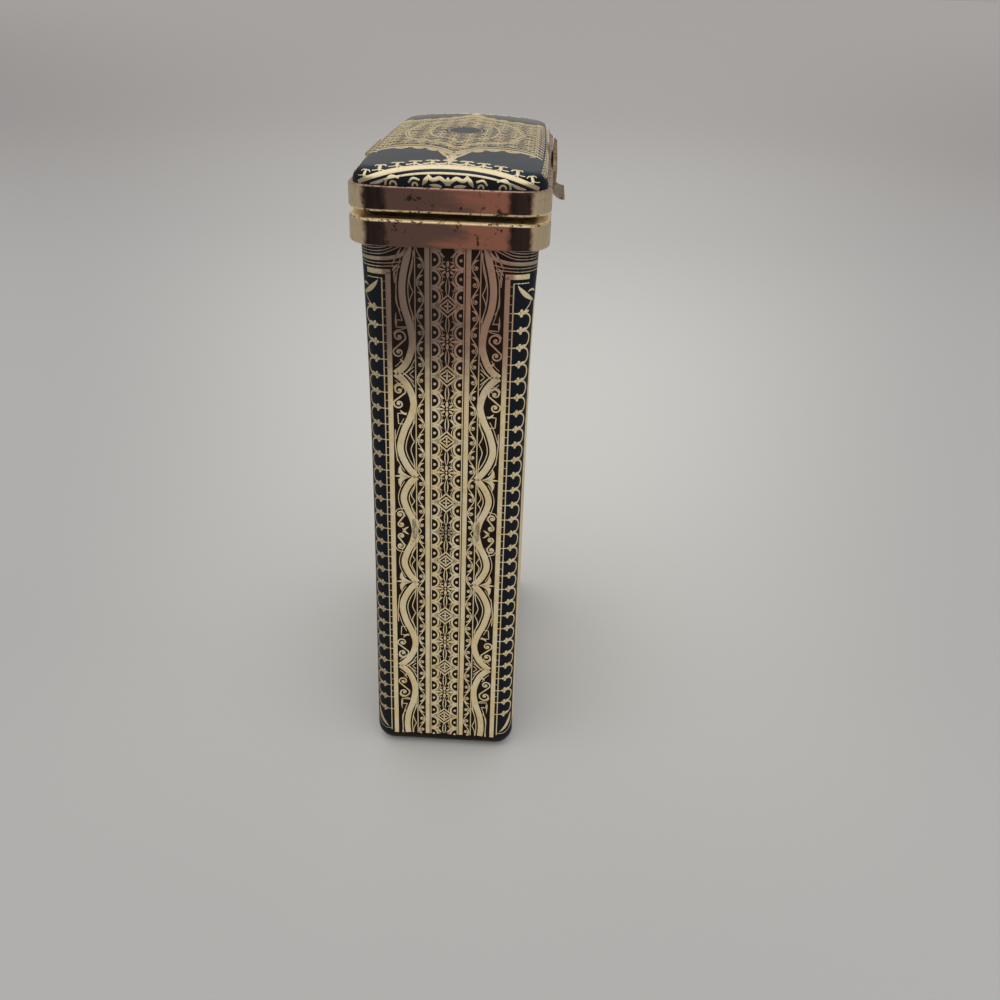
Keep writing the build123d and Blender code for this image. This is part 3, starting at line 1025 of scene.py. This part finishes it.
def border_flower(height):
    """A stem and a flower of four dots."""
    x = flower_place
    strokes = line([(outer_bar_place + 0.3, height), (x, height)], 0.28)
    for way in (1, -1):
        strokes += dot((x, height + 0.38 * way), 0.27) + dot((x + 0.38 * way, height), 0.26)
    return strokes + leaf((x, height), (x + 1.35, height + 0.3), 0.62)


def scallops():
    """The flowers over the corner, with the scallops between them."""
    strokes = []
    for k in range(flower_count):
        height = flower_top - k * flower_pitch
        strokes += border_flower(height)
        if k:
            centre = (flower_place + 0.35, height + flower_pitch / 2)
            strokes += arc(centre, (1.45, flower_pitch / 2 - 0.02), -105, 105, 0.33, 16)
    return strokes


def corner_leaves():
    """The leaves that end the row of flowers, above and below."""
    strokes = leaf((10.6, 91.0), (13.6, 88.4), 0.8, -0.08)
    strokes += leaf((12.2, 89.9), (13.9, 89.7), 0.4, 0.2)
    strokes += flow([(13.2, 88.9), (12.7, 87.8), (11.7, 86.8)], 0.25)
    strokes += leaf((13.1, 7.9), (10.6, 3.9), 0.8, 0.12)
    return strokes + flow([(10.1, 3.6), (11.6, 3.5), (13.2, 4.6), (13.9, 6.4)], 0.2)


def border(shift, round_corner):
    """The bars of one edge of a panel, which turn outwards at the mouth."""
    bar_x, line_x = outer_bar_place + shift, outer_line_place + shift
    turned = bar_x + round_corner
    strokes = line([(bar_x, tooling_low), (bar_x, border_top)], outer_bar_width)
    strokes += line([(bar_x - 0.38, border_top), (turned, border_top)], outer_bar_width)
    strokes += line([(line_x, tooling_low + 0.6), (line_x, border_top - 1.0)], 0.28)
    strokes += line([(line_x, border_top - 1.0), (turned, border_top - 1.0)], 0.28)
    for k in range(flower_count * 2):
        height = flower_top + 2 * flower_pitch - k * flower_pitch / 2
        strokes += line([(bar_x + 0.3, height), (line_x, height)], 0.15)
    return strokes


def mouth_straps():
    """The straps and thin lines that fan out below the mouth."""
    end = outer_bar_place + fan_run
    strokes = flow([(6.0, 96.4), (6.9, 95.1), (8.6, 94.5), (10.5, 94.3), (end, 94.2)], 0.62)
    for start, height in (((7.3, 93.1), 93.1), ((7.0, 94.0), 93.6)):
        strokes += flow([start, (8.6, height + 0.1), (10.5, height), (end, height)], fine_width)
    for x, start, height in ((6.9, 96.4, 94.9), (7.7, 96.5, 95.35), (8.8, 96.5, 95.8), (9.9, 96.5, 96.2)):
        strokes += flow([(x, start), (9.4, height + 0.35), (11.2, height + 0.05), (end, height)], fine_width)
    strokes += line([(7.25, 93.3), (8.25, 92.1), (8.1, 90.6)], fine_width)
    return strokes + leaf((7.6, 93.6), (8.5, 92.4), 0.4)


# %% [markdown]
# ## The narrow ends
# Both narrow ends carry the same panel. The half pattern above the middle is turned over for the lower
# part, cut at the mouth and at the foot, and mirrored.

# %% Tool the narrow ends
corner_run = body_corner * pi / 2


def whole_height(upper_half):
    """A half pattern and its mirror, cut to the height of the walls."""
    whole = moved(upper_half, dy=middle) + moved(upper_half, dy=middle, flip_y=-1)
    return kept(whole, lambda x, y: tooling_low <= y <= tooling_high, 0.5)


def end_panel():
    strokes = whole_height(star_column() + both_sides(middle_bands(reach_up)))
    one_edge = border(0.0, corner_run / 2 + 0.7) + scallops() + corner_leaves() + mouth_straps()
    return strokes + both_sides(one_edge)


for wall in ("near", "far"):
    lay(f"tooling_{wall}_end", end_panel(), body_wall(wall), "case")

# %% [markdown]
# ## The long sides
# The long sides aren't seen in the photograph. They get what a finisher would put there with the same
# tools: the same middle bands, the same edge border, and a net of curved lozenges with flowers and stars
# between them.

# %% Tool the long sides
side_shift = body_half_y - body_half_x
net_start = 11.0
net_end = 25.6
net_columns = 3
net_pitch = (net_end - net_start) / net_columns
net_height = 8.6
wave_step = 0.3


def net_motif(kind):
    """What sits in a lozenge of the net."""
    if kind:
        return flower() + four_ways(leaf((0.7, 1.3), (1.5, 0.9), 0.3, 0.2))
    curls = line(curl_points((1.05, 0.75), 0.5, 215, 1.1, 1, 12), hair_width)
    return four_ways(hollow_diamond(1.0, 1.5, fine_width) + curls) + dot((0, 0), 0.28)


def lozenge_net(start, columns, pitch, height, high, motif, gap=0.22):
    """Waving double lines that touch and part, with a motif in each lozenge."""
    strokes = []
    heights = [k * wave_step for k in range(int(high / wave_step) + 2)]
    for column in range(columns + 1):
        centre = start + column * pitch
        swing = pitch / 2 if column % 2 == 0 else -pitch / 2
        for x in (centre - gap, centre + gap):
            strokes += line([(x + swing * cos(2 * pi * h / height), h) for h in heights], fine_width)
    for column in range(columns):
        centre = start + (column + 0.5) * pitch
        for row in range(int(high / height) + 2):
            at = row * height + (height / 2 if column % 2 == 0 else 0.0)
            strokes += moved(motif(row % 2 == 0), dx=centre, dy=at)
    return strokes


def side_panel():
    net = lozenge_net(net_start, net_columns, net_pitch, net_height, reach_up, net_motif)
    net = kept(net, lambda x, y: net_start - 0.4 < x < net_end + 0.4, 0.5)
    frame_lines = upright(outer_bar_place, 0, reach_up, outer_bar_width)
    frame_lines += upright(outer_line_place, 0, reach_up, 0.22) + upright(net_end + 0.65, 0, reach_up, 0.22)
    strokes = whole_height(star_column() + both_sides(middle_bands(reach_up) + net + frame_lines))
    edge = border(side_shift, 0.9) + upright(body_half_y - body_corner + 0.5, 6.2, 88.3, 0.72)
    return strokes + both_sides(edge)


for wall in ("right", "left"):
    lay(f"tooling_{wall}_side", side_panel(), body_wall(wall), "case")

# %% [markdown]
# ## The lid
# Each narrow end of the lid has a low arch: curls on its upright part, a thin line, a broad bar over the
# shoulder, and a row of small anchors standing on scallops. A plain strip follows, and then the field of
# the top, whose outline runs to a point in the middle. A plain oval is left in the field's centre.

# %% Tool the shoulders of the lid
arch_half = 13.9
arch_top = 3.4
arch_power = 2.15
anchor_pitch = 2.5
anchor_count = 5
covered_foot = 0.3
side_scallops = 12
side_curls = 8


def arch_height(a, top=arch_top, foot=0.15, half=arch_half, power=arch_power):
    """How far up over the shoulder a line is that comes down to the band at both ends."""
    return top - (top - foot) * min(1.0, abs(a) / half) ** power


def arch(top, foot, half, power, width):
    """A line over the shoulder that is thinner towards its ends."""
    steps = 60
    shares = [2 * k / steps - 1 for k in range(steps + 1)]
    points = [(half * share, arch_height(half * share, top, foot, half, power)) for share in shares]
    return [(points, [width * (1 - 0.35 * share * share) for share in shares])]


def anchor(a):
    """A small T with curled arms, on the cusp of two scallops."""
    size = 1 - 0.045 * abs(a)
    low = arch_height(a) + 0.4 + 0.4 * size
    top = low + 2.1 * size
    arms = flow([(0.0, top - 0.2 * size), (0.55, top + 0.1 * size), (1.0, top - 0.6 * size)], 0.62 * size)
    scallop = (anchor_pitch / 2, low + 0.75 * size)
    feet = arc(scallop, (anchor_pitch / 2, 0.85 * size), 180, 270, 0.4 * size, 8)
    return leaf((a, low - 0.5 * size), (a, top + 0.4 * size), 0.6) + moved(both_sides(arms + feet), dx=a)


def lid_curls():
    """The curls on the upright part of the lid's end."""
    strokes = []
    for a, radius in ((4.9, 0.8), (8.1, 1.0)):
        strokes += line(curl_points((a, 0.45), radius, 20, 1.2, 1), 0.34)
        strokes += flow([(a + radius, 0.8), (a + 0.2, radius + 0.65), (a - radius, radius + 0.4)], 0.36)
    strokes += flow([(0.3, 1.0), (1.2, 1.6), (2.2, 1.3), (3.0, 1.9)], 0.6)
    strokes += leaf((2.8, 1.9), (3.7, 0.5), 0.7) + leaf((0.6, 0.35), (2.7, 0.6), 0.6)
    strokes += leaf((9.3, 0.9), (10.9, 0.4), 0.4)
    return both_sides(strokes) + leaf((0, 0.1), (0, 1.8), 0.9)


def lid_end():
    """The tooling of one end, whose foot the band covers."""
    strokes = arch(arch_top, 0.2, arch_half, arch_power, 0.95) + arch(2.3, 0.0, 12.3, 2.3, 0.36)
    strokes += lid_curls()
    for k in range(-anchor_count, anchor_count + 1):
        strokes += anchor(k * anchor_pitch)
    return kept(moved(strokes, dy=-covered_foot), lambda a, climb: climb > 0.05)


def lid_side():
    """The long shoulders carry straight lines, and scallops that look up to the field."""
    half = lid_half_y - lid_corner
    pitch = half / side_scallops
    strokes = line([(-half, 0.6), (half, 0.6)], 0.45) + line([(-half, 1.2), (half, 1.2)], fine_width)
    for k in range(-side_scallops, side_scallops + 1):
        strokes += arc((k * pitch, 1.25), (pitch / 2, 0.9), 0, 180, fine_width, 8)
        strokes += dot((k * pitch, 1.6), 0.22)
    for k in range(-side_curls, side_curls + 1):
        strokes += line(curl_points((k * pitch, 2.9), 0.55, 90, 1.2, 1, 10), fine_width)
        strokes += leaf((k * pitch + 0.5, 2.9), (k * pitch + 1.5, 3.6), 0.4, 0.3)
        strokes += leaf((k * pitch - 0.4, 3.5), (k * pitch - 1.2, 4.3), 0.4, -0.3)
    return strokes


for wall in ("near", "far"):
    lay(f"lid_tooling_{wall}_end", lid_end(), lid_wall(wall), "lid")
for wall in ("right", "left"):
    lay(f"lid_tooling_{wall}_side", lid_side(), lid_wall(wall), "lid")

# %% Tool the field of the lid
field_tip = 24.2
field_shoulder = 17.0
field_shoulder_place = 9.0
field_half = 12.6
oval_half = (2.65, 3.9)
field_columns = 10
field_row = 3.3


def field_end(x, inset=0.0):
    """How far along the lid the field reaches at a place across it."""
    past = abs(x) - field_shoulder_place
    if past > 0:
        return field_shoulder + 0.12 * past**2 - inset
    return field_shoulder + (field_tip - field_shoulder) * (-past / field_shoulder_place) ** 2.2 - inset


def outside_oval(x, y, grow=0.5):
    return hypot(x / (oval_half[0] + grow), y / (oval_half[1] + grow)) > 1


def field_outline(inset, side_inset, width):
    """The pointed outline of the field: broad across its ends and thin along its sides."""
    half = field_half - side_inset
    end = [(half * k / 24, field_end(half * k / 24, inset)) for k in range(25)]
    return four_ways(line(end, width) + line([(half, 0), (half, end[-1][1])], 0.2))


def medallion(half_x, half_y, width):
    """A pointed oval with hollow shoulders round the middle of the field."""
    points = [(0, half_y), (half_x * 0.3, half_y * 0.72), (half_x * 0.8, half_y * 0.5), (half_x, 0)]
    return four_ways(flow(points, width, 8))


def field_motif(kind):
    """A small flower or four curls for the lid's net."""
    if kind:
        upright_petals = petal((0, 0.6), 1.0, 0.4) + petal((0, -0.6), 1.0, 0.4)
        return both_sides(petal((0.55, 0), 0.75, 0.4, 0.0)) + upright_petals
    curl = line(curl_points((0.5, 0.7), 0.36, 215, 1.1, 1, 9), hair_width)
    return four_ways(curl) + petal((0, 0), 1.2, 0.36)


def field_net():
    pitch = 2 * (field_half - 0.3) / field_columns
    net = lozenge_net(0.3 - field_half, field_columns, pitch, field_row, field_tip, field_motif, 0.16)
    net += moved(net, flip_y=-1)

    def inside(x, y):
        return abs(x) < field_half - 0.4 and abs(y) < field_end(x, 2.7) and outside_oval(x, y, 0.7)

    return kept(net, inside, 0.35)


def lid_field():
    strokes = field_outline(0.0, 0.0, 1.1) + field_outline(1.7, 0.35, 0.6)
    strokes += medallion(6.0, 13.5, 0.4) + medallion(9.8, 18.5, 0.4) + medallion(10.3, 19.6, 0.3)
    strokes += arc((0, 0), (oval_half[0] + 0.2, oval_half[1] + 0.3), 0, 360, 0.24, 48)
    stem = line([(0.25, field_tip - 0.6), (0.25, 29.6)], 0.6)
    stem += flow([(0.3, 27.6), (0.55, 26.0), (1.2, 24.7), (2.4, field_end(2.4) + 0.2)], 0.7)
    for x in (3.4, 5.8, 8.8):
        foot = field_end(x)
        stem += flow([(x - 1.0, foot + 0.7), (x - 0.2, foot + 1.5), (x + 0.8, foot + 0.5)], 0.7)
    return strokes + four_ways(stem) + field_net()


lay("lid_tooling_field", lid_field(), lid_crown(), "lid")

# %% [markdown]
# ## The thumb plate's relief
# The plate that the thumb pushes is stamped from thin brass, with beads round its edge and a fluted shell
# in the middle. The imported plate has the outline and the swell, so the relief is laid on it like tooling,
# only higher and rounder.

# %% Relief on the thumb plate
plate_front_x = 15.7
relief_rise = 0.22
shell_foot = 102.3
shell_flutes = 4
flute_angle = 21


def relief_section(width):
    """Across a raised stroke: a round back."""
    steps = 6
    height = relief_rise * min(1.0, width / 0.7)
    return [(-cos(pi * k / steps), height * sin(pi * k / steps) - foil_sink) for k in range(steps + 1)]


def plate_edge():
    """A line just inside the edge of the plate, on one side of its middle."""
    top = [(0, 107.65), (3.3, 107.15), (5.7, 105.9), (7.6, 105.1)]
    return curve_through(top + [(8.2, 104.1), (7.6, 103.0), (5.9, 101.7), (5.2, 101.0)], 5)


def bead_row(path, spacing, radius):
    """Beads along a line."""
    points, _ = divided(path, [1.0] * len(path), 0.1)
    strokes, since = [], spacing
    for (x0, y0), (x1, y1) in zip(points, points[1:]):
        since += hypot(x1 - x0, y1 - y0)
        if since >= spacing:
            strokes += dot((x0, y0), radius)
            since = 0.0
    return strokes


def shell():
    """A fan of flutes."""
    strokes = []
    for k in range(-shell_flutes, shell_flutes + 1):
        angle = radians(90 + k * flute_angle)
        tip = (3.1 * cos(angle), shell_foot + 4.1 * sin(angle))
        strokes += leaf((0.5 * cos(angle), shell_foot + 0.5 * sin(angle)), tip, 0.75)
    return strokes


def plate_relief():
    strokes = both_sides(bead_row(plate_edge(), 0.85, 0.36))
    scrolls = line(curl_points((6.2, 103.7), 0.85, 200, 1.2, 1), 0.4)
    scrolls += leaf((3.3, 101.3), (5.0, 102.1), 0.7, 0.2)
    strokes += both_sides(scrolls) + shell() + dot((0, 102.2), 0.6)
    strokes += both_sides(line([(0.4, 101.2), (4.6, 101.2)], 0.35))
    return strokes


def plate_front():
    return laid_on("thumb_plate", lambda y, z: (Vector((plate_front_x, y, z)), Vector((1, 0, 0))))


lay("thumb_plate_relief", plate_relief(), plate_front(), "lid", relief_section, aged_brass)

# %% [markdown]
# ## The pad under the lid's leather
# A thin felt makes the lid softly domed. It is hidden between the leather and the board, but it is a soft
# piece, so it gets a mesh of its own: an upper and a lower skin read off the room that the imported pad
# fills, closed round a soft rim.

# %% Felt pad
pad_clearance = 0.02
pad_half = (13.45, 31.45)
pad_corner = 3.1
pad_rings = 14
pad_middle = 107.5


def rounded_outline(half_x, half_y, corner):
    """Points round a rounded rectangle in plan."""
    points = []
    for quarter, (sx, sy) in enumerate(((1, 1), (-1, 1), (-1, -1), (1, -1))):
        centre = (sx * (half_x - corner), sy * (half_y - corner))
        points += arc_points(centre, (corner, corner), 90 * quarter, 90 * quarter + 90, 7)
    closed = points + points[:1]
    return divided(closed, [1.0] * len(closed), 1.2)[0][:-1]


def pad_skin(outline, surface, looking, lift):
    """Rings from the middle to the rim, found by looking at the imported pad, or else nearest to it."""
    skin = []
    for ring in range(1, pad_rings + 1):
        share = (ring / pad_rings) ** 0.75
        for x, y in outline:
            start = Vector((x * share, y * share, pad_middle - 20.0 * looking)) * mm
            hit = surface.ray_cast(start, up * looking)[0]
            if hit is None:
                hit = surface.find_nearest(Vector((x * share, y * share, pad_middle)) * mm)[0]
            skin.append(hit + up * lift * mm)
    return skin


def felt_pad():
    outline = rounded_outline(*pad_half, pad_corner)
    surface = surface_of("lid_padding")
    count, last = len(outline), (pad_rings - 1) * len(outline)
    top = pad_skin(outline, surface, -1, -pad_clearance)
    under = pad_skin(outline, surface, 1, pad_clearance)
    faces = []
    for ring in range(pad_rings - 1):
        for k in range(count):
            a, b = ring * count + k, ring * count + (k + 1) % count
            faces.append((a, a + count, b + count, b))
            faces.append((b + len(top), b + count + len(top), a + count + len(top), a + len(top)))
    for k in range(count):
        a, b = last + k, last + (k + 1) % count
        faces.append((a, a + len(top), b + len(top), b))
    faces += [tuple(range(count)), tuple(range(len(top) + count - 1, len(top) - 1, -1))]
    mesh = bpy.data.meshes.new("lid_felt_pad")
    mesh.from_pydata(top + under, [], faces)
    mesh.materials.append(felt)
    mesh.shade_smooth()
    return put("lid_felt_pad", mesh)


pad = felt_pad()
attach(pad, "lid")
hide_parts("lid_padding")
print("pad", len(pad.data.polygons), "faces")

# %% [markdown]
# ## Floor and light
# The photograph has a plain, warm grey ground with soft light from above. One very large floor fills the
# view. Its colour carries painted light: it is paler in a fan that begins at the case and widens behind it,
# and darker further back as painted shade. The world gives an even light, and two broad lamps shape the
# case, at a level where a colour renders about as it is written.

# %% Floor, world and lamps
floor_radius = 30.0
floor_corners = 96
floor_near = (0.426, 0.425, 0.423)
floor_far_shade = (0.35, 0.333, 0.333)
light_pool_colour = (0.595, 0.59, 0.57)
light_pool_middle = 8.0
light_pool_half = 60.0
backdrop = (0.355, 0.34, 0.33)


def floor_paint():
    """Matt paper with painted light: paler in a fan that begins at the case and widens behind it, darker far
    back.
    """
    paint = Paint("floor_paper", {"Roughness": 0.9, "Specular IOR Level": 0.2})
    _, x, y, _ = paint.places()
    behind = y.most(0.0)
    # painted light: the paper is paler in a fan that widens behind the case and fades further back
    half = behind * 0.17 + behind * behind * 0.00015 + light_pool_half
    light_pool = (1 - (abs(x - light_pool_middle) / half).rise(0.2, 1.9)) * y.rise(-90.0, 20.0)
    light_pool = light_pool * (1 - 0.45 * y.rise(150.0, 450.0) - 0.2 * y.rise(450.0, 1100.0))
    # painted shade: the paper darkens further back
    paper = paint.blend(y.rise(150.0, 900.0), floor_near, floor_far_shade)
    paint.feed("Base Color", paint.blend(light_pool, paper, light_pool_colour))
    return paint.owner


def make_floor():
    ring = arc_points((0, 0), (floor_radius, floor_radius), 0, 360, floor_corners)[:-1]
    mesh = bpy.data.meshes.new("floor")
    mesh.from_pydata([(x, y, 0) for x, y in ring], [], [tuple(range(floor_corners))])
    mesh.materials.append(floor_paint())
    floor = put("floor", mesh)


def light_world():
    """Even light all round; the camera and the brass see the colour of the ground instead."""
    world = bpy.data.worlds.new("studio")
    bpy.context.scene.world = world
    sky = Shading(world)
    path = sky.node("LightPath", {}, {}, "Is Camera Ray")
    seen = path.most(path.of("Is Glossy Ray"))
    even = sky.node("Background", {}, {"Color": (1.0, 0.985, 0.965), "Strength": 0.88})
    plain = sky.node("Background", {}, {"Color": backdrop, "Strength": 1.0})
    shown = sky.node("MixShader", {}, {0: seen, 1: even, 2: plain})
    sky.tree.links.new(shown.socket, sky.tree.nodes["World Output"].inputs[0])


def add_lamp(name, place, aim, size, power, tint):
    lamp = put(name, bpy.data.lights.new(name, "AREA"))
    lamp.data.size = size
    lamp.data.energy = power
    lamp.data.color = tint
    lamp.location = place
    lamp.rotation_euler = (Vector(aim) - Vector(place)).to_track_quat("-Z", "Y").to_euler()


make_floor()
light_world()
case_middle = (0, 0, 0.06)
add_lamp("key", (-0.16, -0.2, 0.75), case_middle, 0.8, 1.1, (1.0, 0.98, 0.95))
add_lamp("fill", (0.3, -0.6, 0.3), case_middle, 0.5, 0.6, (0.98, 0.99, 1.0))
bpy.context.scene.view_settings.view_transform = "Standard"
